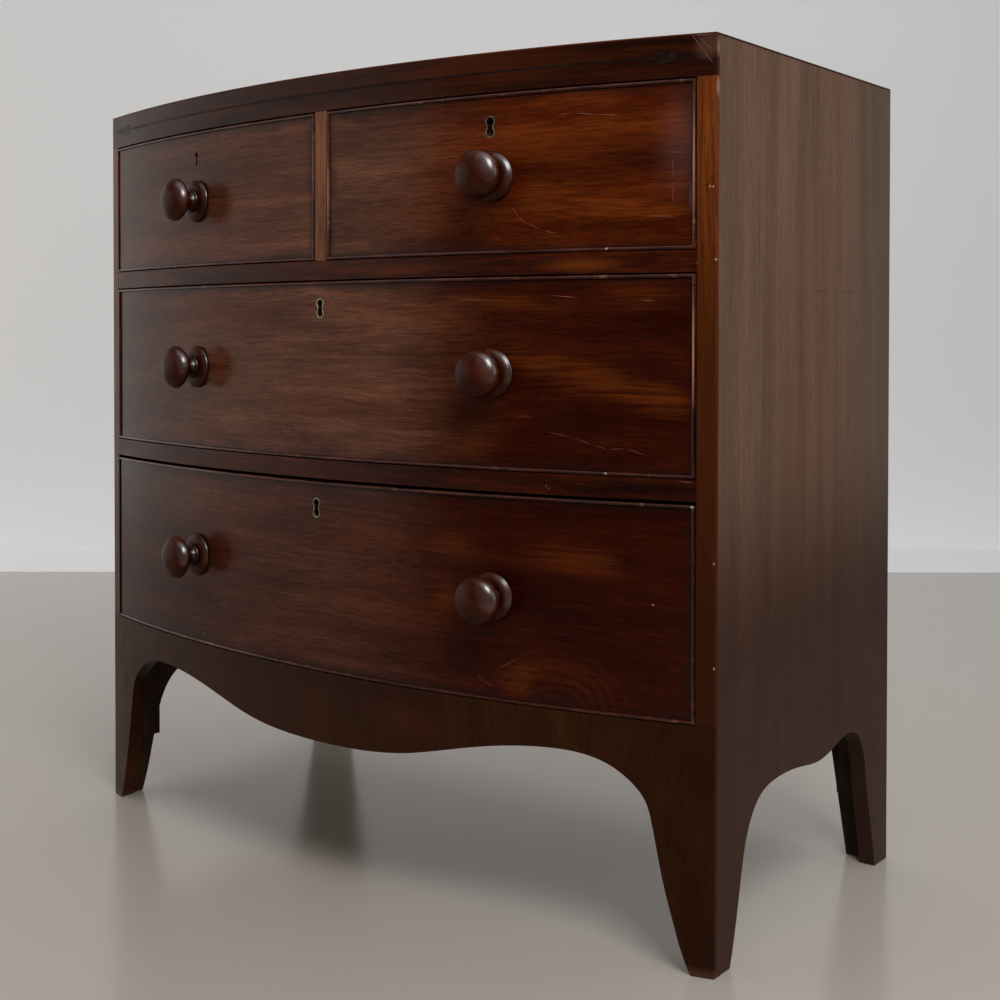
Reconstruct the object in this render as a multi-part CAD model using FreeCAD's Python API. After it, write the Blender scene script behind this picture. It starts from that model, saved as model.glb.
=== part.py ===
import FreeCAD, Part
import math
import os

# Bow front chest of drawers in mahogany, about 1830: two short drawers over two long ones.
#
# The carcass is two solid side boards that run down to the floor as feet, with a top, a
# bottom and bowed rails tenoned between them. The drawer fronts, rails, apron and frieze
# all follow one arc. Millimetres, +Z up, floor at z = 0. The origin is the middle of the
# ground that the chest covers, knobs included. The front looks along -Y, and +X is to the
# right of someone facing the drawers.

Vector = FreeCAD.Vector
UP = Vector(0, 0, 1)

# ---------------------------------------------------------------- driving sizes
WIDTH = 914.0             # over the two sides
DEPTH = 409.0             # from a front corner to the back
BOW = 68.6                # how far the middle of the front stands out before its corners
BASE_HEIGHT = 241.8       # floor to the bottom of the lowest drawer
LOWER_OPENING = 214.7     # clear height of the lowest drawer's opening
MIDDLE_OPENING = 198.4
UPPER_OPENING = 164.5
RAIL = 21.3               # thickness of the rails between drawers
FRIEZE = 41.0             # height of the plain band above the drawers

SIDE = 18.5               # side boards
FACING = 5.0              # mahogany facing on the front edges of the carcass
VENEER = 1.6              # saw-cut veneer on the top
TOP = 18.0                # top board under its veneer
BOTTOM = 16.0             # board under the lowest drawer
HOUSING = 8.0             # how far top, bottom and rails are let into the sides
RAIL_DEPTH = 30.0         # back edge of the rails, behind the front corners
TENON_SHARE = 0.5         # part of a rail's thickness that its stub tenon takes
TENON_SHOULDER = 4.0      # tenon set in from the rail's front and back
DIVIDER = 17.5            # upright board between the two short drawers
BACKBOARD = 10.0          # thickness of the backboards
BACK_REBATE = 9.5         # how far the backboards are let into the side boards
BACKBOARD_COUNT = 3
CORNER_ROUND = 2.5        # softened front corners

RUNNER = 24.0             # width of a runner or kicker at the side
CENTRE_RUNNER = 70.0      # width of the one under and over the divider
STOP_WIDTH = 30.0         # drawer stops: small blocks on the rails, behind the fronts
STOP_LENGTH = 24.0
STOP_HEIGHT = 5.0
STOP_GAP = 0.3
STOP_SPREAD = 130.0       # out from the middle of a short drawer

APRON = 20.0              # thickness of apron and front feet
FOOT_WIDTH = 69.0         # front foot, from the corner to its joint with the apron
REAR_FOOT = 18.0          # thickness of the brackets behind the back feet
REAR_FOOT_TOP = 60.0
REAR_FOOT_TOE = 24.0
BLOCK = 25.0              # glue blocks in the feet
BLOCK_LIFT = 80.0         # their lower ends, above the floor
APRON_BLOCK_LENGTH = 80.0
APRON_BLOCK_HEIGHT = 20.0
APRON_BLOCK_SPACING = 250.0

# Lower edge of the front, from the corner inwards: (distance in from the corner, height).
# The foot sweeps up to a hollow, and the apron falls again to its lowest in the middle.
FRONT_ARCH = [(22, 0), (31, 22), (39, 50), (47, 80), (54.5, 116), (60, 144), (67, 165),
              (80, 180), (104, 195), (142, 203), (177, 202.5), (234, 195), (285, 183.5),
              (332, 172.7), (390, 165.5)]
APRON_MIDDLE = 163.5      # height of the apron's lowest point, in the middle

# Lower edge of a side: (distance behind the front corner, height), then the back foot as
# (distance before the back edge, height).
SIDE_ARCH_FRONT = [(31, 0), (43, 38), (54, 84), (67, 124), (91, 152.5), (134, 163),
                   (180, 161.5), (225, 157)]
SIDE_ARCH_BACK = [(149, 162), (110, 170.5), (84, 164), (66, 138), (57, 97), (44, 45),
                  (34, 0)]

# Ebony let into the frieze: a string along it, ending in a dart at each side.
STRING_DROP = 20.7        # below the top
STRING_HEIGHT = 2.0
INLAY_DEPTH = 1.2
DART_BASE = 57.5          # its broad end, in from the corner
DART_POINT = 15.5
DART_HEIGHT = 13.7

# Drawers
FACE_INSET = 1.5          # drawer face behind the rails' faces
FRONT = 22.0              # thickness of a drawer front
SIDE_GAP = 1.0            # between a drawer and the carcass beside it
UNDER_GAP = 1.0           # under a drawer front
TOP_GAP = 1.5             # over a drawer front
LOWER_TOP_GAP = 3.2       # over the lowest one, which has shrunk and worn most
RUN_GAP = 0.3             # under the drawer sides
DRAWER_SIDE = 10.0
DRAWER_BACK = 9.0
DRAWER_BOTTOM = 7.0
DRAWER_SIDE_DROP = 4.0    # sides below the top of the front
DRAWER_BACK_DROP = 6.0    # back below the top of the sides
BOTTOM_LIFT = 7.0         # drawer bottom above the lower edge of the sides
GROOVE = 4.0              # how far the bottom is let into sides and front
DRAWER_REAR_GAP = 14.0    # between a drawer and the backboards
LAP = 6.0                 # front left before the dovetails
TAIL_PITCH = 46.0         # about one dovetail for each such height
TAIL_SHARE = 0.62         # part of the pitch that the tail takes at its root
TAIL_SLOPE = 1 / 7

# Cockbead: a thin moulding in a rebate round each drawer front.
BEAD = 3.2
BEAD_DEPTH = 5.5          # behind the drawer face
BEAD_PROUD = 2.4          # before it
BEAD_SHOULDER = 0.9       # where its round nose begins, before the face
BEAD_FLATS = 5            # its nose is planed round in so many narrow flats
BEAD_OVERRUN = 0.5        # degrees that a long bead is bent past each end, before mitring

# Knobs, turned in one piece with the peg that holds them
KNOB_SHIFT = 2.875        # knobs stand this far outside the middle of a short drawer
KNOB_DROP = 3.0           # upper knobs sit a little below the middle of their drawers
ROSE = 25.2               # radius of the disc against the drawer face
ROSE_RIM = 2.6            # height of its widest line
ROSE_LIP = 4.6            # height where its rim runs into its face
ROSE_FACE = 8.0           # height of its face beside the ring
ROSE_FOOT_ROUND = 1.4     # how far its rim rounds in at the back
ROSE_LIP_ROUND = 1.6      # and at the front
ROSE_SWELL = 1.3          # how far its face swells between rim and ring
RING = 13.4               # radius of the raised ring round the neck
RING_BULGE = 0.2
RING_SIDE = 2.0           # height up to which the ring's side stands
RING_HEIGHT = 2.6
RING_TOP = 2.4            # width of its rounded top
NECK = 9.2                # radius and height of the neck's narrowest part
NECK_HEIGHT = 15.6
NECK_FLARE = 1.2          # how much wider it is where it meets the cap
CAP = 25.2                # radius of the cap, and height of its widest line
CAP_MIDDLE = 30.0
CAP_FRONT = 15.1          # cap before its widest line
CAP_BACK = 9.4            # cap behind it
CAP_UNDER = 0.83          # parts of its radius where the outline's arcs pass or meet
CAP_BROW = 0.95
CAP_SHOULDER = 0.76
PEG = 7.0
PEG_LENGTH = 18.0
PEG_CLEARANCE = 0.15

# Keyholes and their brass linings
KEY_DROP = 33.0           # middle of a keyhole below the top of a short drawer's front
LONG_KEY_DROP = 29.5      # and of a long drawer's
KEY_SHIFT = -2.5          # keyholes are cut a little left of the middle of their drawers
LOWER_KEY_SHIFT = -8.5    # the lowest one most
KEY_SPACING = 11.0        # between the centres of its two round ends
ESCUTCHEON = 5.6          # outer radius of the lining's ends
ESCUTCHEON_WAIST = 4.1
ESCUTCHEON_WALL = 1.4
ESCUTCHEON_DEPTH = 6.0
ESCUTCHEON_PROUD = 0.3
KEYHOLE = 3.2             # plain hole in the wood behind: round top
KEYHOLE_SLOT = 2.0        # and half the width of its slot

# Drawer locks, let into the backs of the fronts
LOCK_WIDTH = 52.0
LOCK_HEIGHT = 45.0
LOCK_DEPTH = 9.0
LOCK_WALL = 1.2
SELVEDGE_WIDTH = 60.0     # the lock's top plate
SELVEDGE_DEPTH = 13.0
SELVEDGE = 2.0
KEY_PIN = 1.6
BOLT_WIDTH = 22.0
BOLT_HEIGHT = 19.0
BOLT_CLEARANCE = 0.35
BOLT_TRAVEL = 7.0
BOLT_NOTCH = 5.0          # the key turns in this hollow under the bolt
MORTISE_CLEARANCE = 1.5

# ---------------------------------------------------------------- places worked out
HALF = WIDTH / 2
INNER = HALF - SIDE
SHORT_MIDDLE = (INNER + DIVIDER / 2) / 2
KNOB_X = SHORT_MIDDLE + KNOB_SHIFT
BOW_RADIUS = (HALF**2 + BOW**2) / (2 * BOW)
FACE_RADIUS = BOW_RADIUS - FACE_INSET
KNOB_ANGLE = math.asin(KNOB_X / FACE_RADIUS)
KNOB_REACH = ((FACE_RADIUS + CAP_MIDDLE) * math.cos(KNOB_ANGLE)
              + math.hypot(CAP_FRONT * math.cos(KNOB_ANGLE), CAP * math.sin(KNOB_ANGLE))
              - (BOW_RADIUS - BOW))

CORNER_Y = (KNOB_REACH - DEPTH) / 2
BACK_Y = CORNER_Y + DEPTH
INSIDE_BACK_Y = BACK_Y - BACKBOARD
RAIL_BACK_Y = CORNER_Y + RAIL_DEPTH
BOW_CENTRE_Y = CORNER_Y - BOW + BOW_RADIUS
DRAWER_END_Y = INSIDE_BACK_Y - DRAWER_REAR_GAP

LOWER_TOP_Z = BASE_HEIGHT + LOWER_OPENING
MIDDLE_Z = LOWER_TOP_Z + RAIL
MIDDLE_TOP_Z = MIDDLE_Z + MIDDLE_OPENING
UPPER_Z = MIDDLE_TOP_Z + RAIL
UPPER_TOP_Z = UPPER_Z + UPPER_OPENING
HEIGHT = UPPER_TOP_Z + FRIEZE
BOARD_TOP_Z = HEIGHT - VENEER
TOP_UNDER_Z = BOARD_TOP_Z - TOP
BOTTOM_UNDER_Z = BASE_HEIGHT - BOTTOM
STRING_Z = HEIGHT - STRING_DROP


# ---------------------------------------------------------------- shapes
def arc_y(x, inset):
    """Y of the bowed front at x, set back by inset towards the bow's centre."""
    return BOW_CENTRE_Y - math.sqrt((BOW_RADIUS - inset)**2 - x**2)


def arc_edge(x0, x1, inset):
    """Edge along the bow from x0 to x1."""
    points = [Vector(x, arc_y(x, inset), 0) for x in (x0, (x0 + x1) / 2, x1)]
    return Part.Arc(*points).toShape()


def straight(points):
    """Edges joining the points in turn."""
    return [Part.LineSegment(a, b).toShape() for a, b in zip(points, points[1:])]


def raised(edges, z0, z1):
    """Plan outline drawn at z = 0, made solid from z0 to z1."""
    face = Part.Face(Part.Wire(edges))
    face.translate(Vector(0, 0, z0))
    return face.extrude(Vector(0, 0, z1 - z0))


def box(x0, x1, y0, y1, z0, z1):
    return Part.makeBox(x1 - x0, y1 - y0, z1 - z0, Vector(x0, y0, z0))


def bowed_board(x0, x1, inset, back_y, z0, z1):
    """Board with a bowed front and a straight back."""
    front = arc_edge(x0, x1, inset)
    rest = straight([Vector(x1, arc_y(x1, inset), 0), Vector(x1, back_y, 0),
                     Vector(x0, back_y, 0), Vector(x0, arc_y(x0, inset), 0)])
    return raised([front] + rest, z0, z1)


def bowed_strip(x0, x1, inset, thickness, z0, z1):
    """Strip bent to the bow, with both its faces curved."""
    back = inset + thickness
    right = straight([Vector(x1, arc_y(x1, inset), 0), Vector(x1, arc_y(x1, back), 0)])
    left = straight([Vector(x0, arc_y(x0, back), 0), Vector(x0, arc_y(x0, inset), 0)])
    return raised([arc_edge(x0, x1, inset)] + right + [arc_edge(x1, x0, back)] + left, z0, z1)


def under_curve(points, place, along):
    """Solid below a smooth curve and above the floor, cut out to leave an arch."""
    curve = Part.BSplineCurve()
    curve.interpolate([place(*point) for point in points])
    floor = Part.LineSegment(place(*points[-1]), place(*points[0])).toShape()
    return Part.Face(Part.Wire([curve.toShape(), floor])).extrude(along)


def flat_piece(corners, thickness):
    """Flat piece cut to an outline in a plane, made solid along thickness."""
    return Part.Face(Part.makePolygon(corners + corners[:1])).extrude(thickness)


def mirrored(shape):
    """The same piece on the other side of the chest."""
    return shape.mirror(Vector(0, 0, 0), Vector(1, 0, 0))


def both(shape):
    return [shape, mirrored(shape)]


def on_bow(shape, x):
    """Carries a fitting made at the middle of the front round to x, square to the face."""
    turned = shape.copy()
    angle = math.degrees(math.asin(x / FACE_RADIUS))
    turned.rotate(Vector(0, BOW_CENTRE_Y, 0), UP, angle)
    return turned


def soften_corners(shape):
    """Rounds a piece where it reaches the front corners of the chest."""
    plan = bowed_board(-HALF, HALF, 0, BACK_Y, -1, HEIGHT + 1)
    corners = [edge for edge in plan.Edges
               if all(abs(point.Point.y - CORNER_Y) < 0.01 for point in edge.Vertexes)
               and abs(edge.Vertexes[0].Point.x - edge.Vertexes[1].Point.x) < 0.01]
    return shape.common(plan.makeFillet(CORNER_ROUND, corners))


# ---------------------------------------------------------------- carcass
def stub_tenon(z0, z1):
    """Stub on the right end of a rail, let into the side board."""
    shoulder = (z1 - z0) * (1 - TENON_SHARE) / 2
    return box(INNER, INNER + HOUSING, arc_y(INNER + HOUSING, FACING) + TENON_SHOULDER,
               RAIL_BACK_Y - TENON_SHOULDER, z0 + shoulder, z1 - shoulder)


def rail(inset, z0, z1):
    """Bowed rail across the chest with a stub tenon at each end."""
    body = bowed_board(-INNER, INNER, inset, RAIL_BACK_Y, z0, z1)
    return body.fuse(both(stub_tenon(z0, z1))).removeSplitter()


def front_arch():
    """What is cut away between the front feet."""
    right = [(HALF - inwards, z) for inwards, z in reversed(FRONT_ARCH)]
    left = [(-x, z) for x, z in reversed(right)]
    reach = BOW + APRON
    return under_curve(left + [(0, APRON_MIDDLE)] + right,
                       lambda x, z: Vector(x, CORNER_Y - reach, z), Vector(0, 2 * reach, 0))


def side_arch():
    """What is cut away between the feet of a side."""
    points = ([(CORNER_Y + behind, z) for behind, z in SIDE_ARCH_FRONT]
              + [(BACK_Y - before, z) for before, z in SIDE_ARCH_BACK])
    return under_curve(points, lambda y, z: Vector(INNER - SIDE, y, z), Vector(3 * SIDE, 0, 0))


def side_board(let_in):
    """Right side: one board down to the floor, with the neighbours in let_in housed in it."""
    board = bowed_board(INNER, HALF, FACING, BACK_Y, 0, BOARD_TOP_Z)
    return board.cut([side_arch()] + let_in)


def top_board():
    return bowed_board(-INNER - HOUSING, INNER + HOUSING, FACING, BACK_Y,
                       TOP_UNDER_Z, BOARD_TOP_Z)


def bottom_board():
    return bowed_board(-INNER - HOUSING, INNER + HOUSING, APRON, INSIDE_BACK_Y,
                       BOTTOM_UNDER_Z, BASE_HEIGHT)


def backboards():
    """Boards across the back, in rebates behind the sides."""
    reach = HALF - BACK_REBATE
    each = (TOP_UNDER_Z - BOTTOM_UNDER_Z) / BACKBOARD_COUNT
    return [box(-reach, reach, INSIDE_BACK_Y, BACK_Y,
                BOTTOM_UNDER_Z + i * each, BOTTOM_UNDER_Z + (i + 1) * each)
            for i in range(BACKBOARD_COUNT)]


def frieze_inlay():
    """String and two darts, all as deep as the inlay."""
    string_end = HALF - DART_BASE
    string = bowed_strip(-string_end, string_end, 0, INLAY_DEPTH,
                         STRING_Z - STRING_HEIGHT / 2, STRING_Z + STRING_HEIGHT / 2)
    point = HALF - DART_POINT
    outline = flat_piece([Vector(string_end, CORNER_Y - BOW, STRING_Z - DART_HEIGHT / 2),
                          Vector(point, CORNER_Y - BOW, STRING_Z),
                          Vector(string_end, CORNER_Y - BOW, STRING_Z + DART_HEIGHT / 2)],
                         Vector(0, 2 * BOW, 0))
    layer = bowed_strip(string_end, point, 0, INLAY_DEPTH, STRING_Z - FRIEZE / 2, HEIGHT)
    return [string] + both(layer.common(outline))


def front_foot(arch):
    """Right front foot: full thickness beside the side board, and a facing lapped over it."""
    joint = HALF - FOOT_WIDTH
    foot = bowed_strip(joint, INNER, 0, APRON, 0, BASE_HEIGHT)
    lap = bowed_strip(INNER, HALF, 0, FACING, 0, BASE_HEIGHT)
    return soften_corners(foot.fuse(lap).removeSplitter().cut(arch))


def rear_foot():
    """Right back foot's bracket, tapering to the floor."""
    y = BACK_Y - REAR_FOOT
    return flat_piece([Vector(INNER, y, 0), Vector(INNER - REAR_FOOT_TOE, y, 0),
                       Vector(INNER - REAR_FOOT_TOP, y, BOTTOM_UNDER_Z),
                       Vector(INNER, y, BOTTOM_UNDER_Z)], Vector(0, REAR_FOOT, 0))


def glue_blocks():
    """Blocks in the four feet, and three along the back of the apron."""
    inside = INNER - BLOCK
    behind = arc_y(INNER, APRON)
    front = bowed_board(inside, INNER, APRON, behind + BLOCK, BLOCK_LIFT, BOTTOM_UNDER_Z)
    back = box(inside, INNER, BACK_Y - REAR_FOOT - BLOCK, BACK_Y - REAR_FOOT,
               BLOCK_LIFT, BOTTOM_UNDER_Z)
    blocks = both(front) + both(back)
    for x in (-APRON_BLOCK_SPACING, 0, APRON_BLOCK_SPACING):
        reach = APRON_BLOCK_LENGTH / 2
        furthest = max(arc_y(x - reach, APRON), arc_y(x + reach, APRON))
        blocks.append(bowed_board(x - reach, x + reach, APRON, furthest + APRON_BLOCK_HEIGHT,
                                  BOTTOM_UNDER_Z - APRON_BLOCK_HEIGHT, BOTTOM_UNDER_Z))
    return blocks


def bearers(z0, z1, with_centre):
    """Runners or kickers from the rail to the backboards, against each side."""
    side = box(INNER - RUNNER, INNER, RAIL_BACK_Y, INSIDE_BACK_Y, z0, z1)
    centre = box(-CENTRE_RUNNER / 2, CENTRE_RUNNER / 2, RAIL_BACK_Y, INSIDE_BACK_Y, z0, z1)
    return both(side) + ([centre] if with_centre else [])


def stop(x, z):
    """Block that a drawer front comes up against, its face shaped to the bow."""
    inset = FACE_INSET + FRONT + STOP_GAP
    ends = (x - STOP_WIDTH / 2, x + STOP_WIDTH / 2)
    back = max(arc_y(end, inset) for end in ends) + STOP_LENGTH
    return bowed_board(*ends, inset, back, z, z + STOP_HEIGHT)


# ---------------------------------------------------------------- drawers
class Drawer:
    """One drawer: its opening in the carcass and what is fitted to its front."""

    def __init__(self, left, right, floor, ceiling, knobs, key, key_drop, top_gap=TOP_GAP,
                 knob_drop=0.0, escutcheon=True, bead_lost=False):
        self.x0 = left + SIDE_GAP
        self.x1 = right - SIDE_GAP
        self.z0 = floor + UNDER_GAP
        self.z1 = ceiling - top_gap
        self.ceiling = ceiling
        self.side_z0 = floor + RUN_GAP
        self.side_z1 = self.z1 - DRAWER_SIDE_DROP
        self.bottom_z0 = self.side_z0 + BOTTOM_LIFT
        self.bottom_z1 = self.bottom_z0 + DRAWER_BOTTOM
        self.knobs = knobs
        self.knob_z = (floor + ceiling) / 2 - knob_drop
        self.key = key
        self.key_z = self.z1 - key_drop
        self.escutcheon = escutcheon
        self.bead_lost = bead_lost


FACE_Y = arc_y(0, FACE_INSET)
FRONT_BACK_Y = FACE_Y + FRONT


def drawer_bottom(d):
    """Thin board, let into the sides and the front, and passing under the back."""
    return bowed_board(d.x0 + DRAWER_SIDE - GROOVE, d.x1 - DRAWER_SIDE + GROOVE,
                       FACE_INSET + FRONT - GROOVE, DRAWER_END_Y, d.bottom_z0, d.bottom_z1)


def tails(x0, x1, root_y, tip_y, z0, z1):
    """Row of dovetails between z0 and z1, widening from the root to the tip."""
    count = max(2, round((z1 - z0) / TAIL_PITCH))
    pitch = (z1 - z0) / count
    root = pitch * TAIL_SHARE / 2
    tip = root + abs(tip_y - root_y) * TAIL_SLOPE
    row = []
    for i in range(count):
        z = z0 + (i + 0.5) * pitch
        row.append(flat_piece([Vector(x0, root_y, z - root), Vector(x0, tip_y, z - tip),
                               Vector(x0, tip_y, z + tip), Vector(x0, root_y, z + root)],
                              Vector(x1 - x0, 0, 0)))
    return row


def front_tails(d, x0, x1):
    """Lapped dovetails at the front end of a drawer side, hidden from the face."""
    root_y = max(arc_y(x0, FACE_INSET + FRONT), arc_y(x1, FACE_INSET + FRONT))
    tip_y = min(arc_y(x0, FACE_INSET + LAP), arc_y(x1, FACE_INSET + LAP))
    socket = bowed_strip(x0, x1, FACE_INSET + LAP, FRONT - LAP, d.z0, d.side_z1)
    return [socket.common(tail)
            for tail in tails(x0, x1, root_y, tip_y, d.z0, d.side_z1)]


def back_tails(d, x0, x1):
    """Through dovetails at the back end of a drawer side."""
    return tails(x0, x1, DRAWER_END_Y - DRAWER_BACK, DRAWER_END_Y,
                 d.bottom_z1, d.side_z1 - DRAWER_BACK_DROP)


def drawer_ends(d):
    """X range of the left and the right drawer side."""
    return [(d.x0, d.x0 + DRAWER_SIDE), (d.x1 - DRAWER_SIDE, d.x1)]


def drawer_sides(d):
    """Two thin side boards with their dovetails, grooved for the bottom."""
    bottom = drawer_bottom(d)
    boards = []
    for x0, x1 in drawer_ends(d):
        board = bowed_board(x0, x1, FACE_INSET + FRONT, DRAWER_END_Y - DRAWER_BACK,
                            d.side_z0, d.side_z1)
        heel = box(x0, x1, DRAWER_END_Y - DRAWER_BACK, DRAWER_END_Y, d.side_z0, d.bottom_z1)
        board = board.fuse([heel] + front_tails(d, x0, x1) + back_tails(d, x0, x1))
        boards.append(board.removeSplitter().cut(bottom))
    return boards


def drawer_back(d):
    """Back board, standing on the bottom, with sockets for the sides' through dovetails."""
    board = box(d.x0, d.x1, DRAWER_END_Y - DRAWER_BACK, DRAWER_END_Y,
                d.bottom_z1, d.side_z1 - DRAWER_BACK_DROP)
    return board.cut([tail for ends in drawer_ends(d) for tail in back_tails(d, *ends)])


def key_shape(top, waist, bottom, y0, y1, z):
    """Keyhole form: two round ends one above the other, joined by a narrower waist."""
    along = Vector(0, 1, 0)
    upper = Part.makeCylinder(top, y1 - y0, Vector(0, y0, z + KEY_SPACING / 2), along)
    lower = Part.makeCylinder(bottom, y1 - y0, Vector(0, y0, z - KEY_SPACING / 2), along)
    slot = box(-waist, waist, y0, y1, z - KEY_SPACING / 2, z + KEY_SPACING / 2)
    return upper.fuse([lower, slot]).removeSplitter()


def escutcheon_outside(d):
    return key_shape(ESCUTCHEON, ESCUTCHEON_WAIST, ESCUTCHEON,
                     FACE_Y - ESCUTCHEON_PROUD, FACE_Y + ESCUTCHEON_DEPTH, d.key_z)


def escutcheon(d):
    """Brass lining of a keyhole, pressed in from the front."""
    inside = key_shape(ESCUTCHEON - ESCUTCHEON_WALL, ESCUTCHEON_WAIST - ESCUTCHEON_WALL,
                       ESCUTCHEON - ESCUTCHEON_WALL, FACE_Y - BEAD_DEPTH,
                       FACE_Y + 2 * ESCUTCHEON_DEPTH, d.key_z)
    return on_bow(escutcheon_outside(d).cut(inside), d.key)


def lock_outside(d, behind=0.0):
    """Outline of a lock: its case and the plate on its top, carried on behind the front."""
    half_case = LOCK_WIDTH / 2
    half_plate = SELVEDGE_WIDTH / 2
    back = FRONT_BACK_Y + behind
    case = box(-half_case, half_case, FRONT_BACK_Y - LOCK_DEPTH, back,
               d.z1 - LOCK_HEIGHT, d.z1)
    plate = box(-half_plate, half_plate, FRONT_BACK_Y - SELVEDGE_DEPTH, back,
                d.z1 - SELVEDGE, d.z1)
    return case.fuse(plate).removeSplitter()


def bolt_block(d, clearance, lift):
    """Bolt's outline, grown by a clearance all round and raised by lift."""
    half = BOLT_WIDTH / 2 + clearance
    skin = LOCK_WALL + BOLT_CLEARANCE - clearance
    return box(-half, half, FRONT_BACK_Y - LOCK_DEPTH + skin, FRONT_BACK_Y - skin,
               d.z1 - BOLT_HEIGHT - clearance, d.z1 + lift)


def lock_case(d):
    """Lock: hollow case with a keyhole, the pin that the key fits over, and a slot on top."""
    half = LOCK_WIDTH / 2 - LOCK_WALL
    hollow = box(-half, half, FRONT_BACK_Y - LOCK_DEPTH + LOCK_WALL, FRONT_BACK_Y - LOCK_WALL,
                 d.z1 - LOCK_HEIGHT + LOCK_WALL, d.z1 - SELVEDGE)
    keyhole = key_shape(KEYHOLE, KEYHOLE_SLOT, KEYHOLE_SLOT, FRONT_BACK_Y - 2 * LOCK_DEPTH,
                        FRONT_BACK_Y - 2 * LOCK_WALL, d.key_z)
    pin = Part.makeCylinder(KEY_PIN, LOCK_DEPTH - LOCK_WALL,
                            Vector(0, FRONT_BACK_Y - LOCK_DEPTH, d.key_z + KEY_SPACING / 2),
                            Vector(0, 1, 0))
    slot = bolt_block(d, BOLT_CLEARANCE, SELVEDGE)
    case = lock_outside(d).cut([hollow, keyhole, slot])
    return on_bow(case.fuse(pin).removeSplitter(), d.key)


def lock_bolt(d):
    """Bolt, drawn back into the lock, with a hollow below for the key to turn in."""
    notch = Part.makeCylinder(BOLT_NOTCH, LOCK_DEPTH,
                              Vector(0, FRONT_BACK_Y - LOCK_DEPTH, d.z1 - BOLT_HEIGHT),
                              Vector(0, 1, 0))
    return on_bow(bolt_block(d, 0, 0).cut(notch), d.key)


def mortise(d):
    """Slot in the rail above a drawer that takes its bolt."""
    half = BOLT_WIDTH / 2 + MORTISE_CLEARANCE
    skin = LOCK_WALL + BOLT_CLEARANCE - MORTISE_CLEARANCE
    hole = box(-half, half, FRONT_BACK_Y - LOCK_DEPTH + skin, FRONT_BACK_Y - skin,
               d.z1, d.z1 + BOLT_TRAVEL + MORTISE_CLEARANCE)
    return on_bow(hole, d.key)


def knob(d, x):
    """Turned knob: peg, rounded rose with a ring, waisted neck and domed cap."""
    def at(radius, height):
        return Vector(radius, FACE_Y - height, d.knob_z)

    def curve(*points):
        return Part.Arc(*[at(*point) for point in points]).toShape()

    def cap_height(radius, depth):
        return CAP_MIDDLE + depth * math.sqrt(1 - (radius / CAP)**2)

    collar = NECK + NECK_FLARE
    under = CAP_UNDER * CAP
    brow = CAP_BROW * CAP
    shoulder = CAP_SHOULDER * CAP
    heel = ROSE - ROSE_FOOT_ROUND
    lip = ROSE - ROSE_LIP_ROUND
    swell = ((lip + RING) / 2, (ROSE_LIP + ROSE_FACE) / 2 + ROSE_SWELL)
    ring_top = (RING - RING_TOP, ROSE_FACE + RING_HEIGHT)
    tip = CAP_MIDDLE + CAP_FRONT
    fall = tip - cap_height(shoulder, CAP_FRONT)
    crown = (shoulder**2 + fall**2) / (2 * fall)
    half_angle = math.asin(shoulder / crown) / 2
    edges = straight([at(0, tip), at(0, -PEG_LENGTH), at(PEG, -PEG_LENGTH), at(PEG, 0),
                      at(heel, 0)])
    edges.append(curve((heel, 0), (ROSE, ROSE_RIM), (lip, ROSE_LIP)))
    edges.append(curve((lip, ROSE_LIP), swell, (RING, ROSE_FACE)))
    edges.append(curve((RING, ROSE_FACE), (RING - RING_BULGE, ROSE_FACE + RING_SIDE), ring_top))
    edges.append(curve(ring_top, (NECK, NECK_HEIGHT), (collar, cap_height(collar, -CAP_BACK))))
    edges.append(curve((collar, cap_height(collar, -CAP_BACK)),
                       (under, cap_height(under, -CAP_BACK)), (CAP, CAP_MIDDLE)))
    edges.append(curve((CAP, CAP_MIDDLE), (brow, cap_height(brow, CAP_FRONT)),
                       (shoulder, cap_height(shoulder, CAP_FRONT))))
    edges.append(curve((shoulder, cap_height(shoulder, CAP_FRONT)),
                       (crown * math.sin(half_angle), tip - crown * (1 - math.cos(half_angle))),
                       (0, tip)))
    turned = Part.Face(Part.Wire(edges)).revolve(at(0, 0), Vector(0, 1, 0), 360)
    return on_bow(turned, x)


def knob_hole(d, x):
    hole = Part.makeCylinder(PEG + PEG_CLEARANCE, PEG_LENGTH + BEAD_DEPTH + PEG_CLEARANCE,
                             Vector(0, FACE_Y - BEAD_DEPTH, d.knob_z), Vector(0, 1, 0))
    return on_bow(hole, x)


def drawer_front(d):
    """Bowed front, rebated all round for the cockbead and cut for its fittings."""
    face = bowed_strip(d.x0 + BEAD, d.x1 - BEAD, FACE_INSET, BEAD_DEPTH,
                       d.z0 + BEAD, d.z1 - BEAD)
    body = bowed_strip(d.x0, d.x1, FACE_INSET + BEAD_DEPTH, FRONT - BEAD_DEPTH, d.z0, d.z1)
    keyhole = key_shape(KEYHOLE, KEYHOLE_SLOT, KEYHOLE_SLOT,
                        FACE_Y - BEAD_DEPTH, FRONT_BACK_Y, d.key_z)
    lock_recess = on_bow(lock_outside(d, behind=LOCK_DEPTH), d.key)
    cuts = [drawer_bottom(d), lock_recess, on_bow(keyhole, d.key)]
    if d.escutcheon:
        cuts.append(on_bow(escutcheon_outside(d), d.key))
    cuts += [knob_hole(d, x) for x in d.knobs]
    cuts += [tail for ends in drawer_ends(d) for tail in front_tails(d, *ends)]
    return body.fuse(face).removeSplitter().cut(cuts)


def bead_nose(low, tip, high):
    return straight(Part.Arc(low, tip, high).toShape().discretize(BEAD_FLATS + 1))


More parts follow.
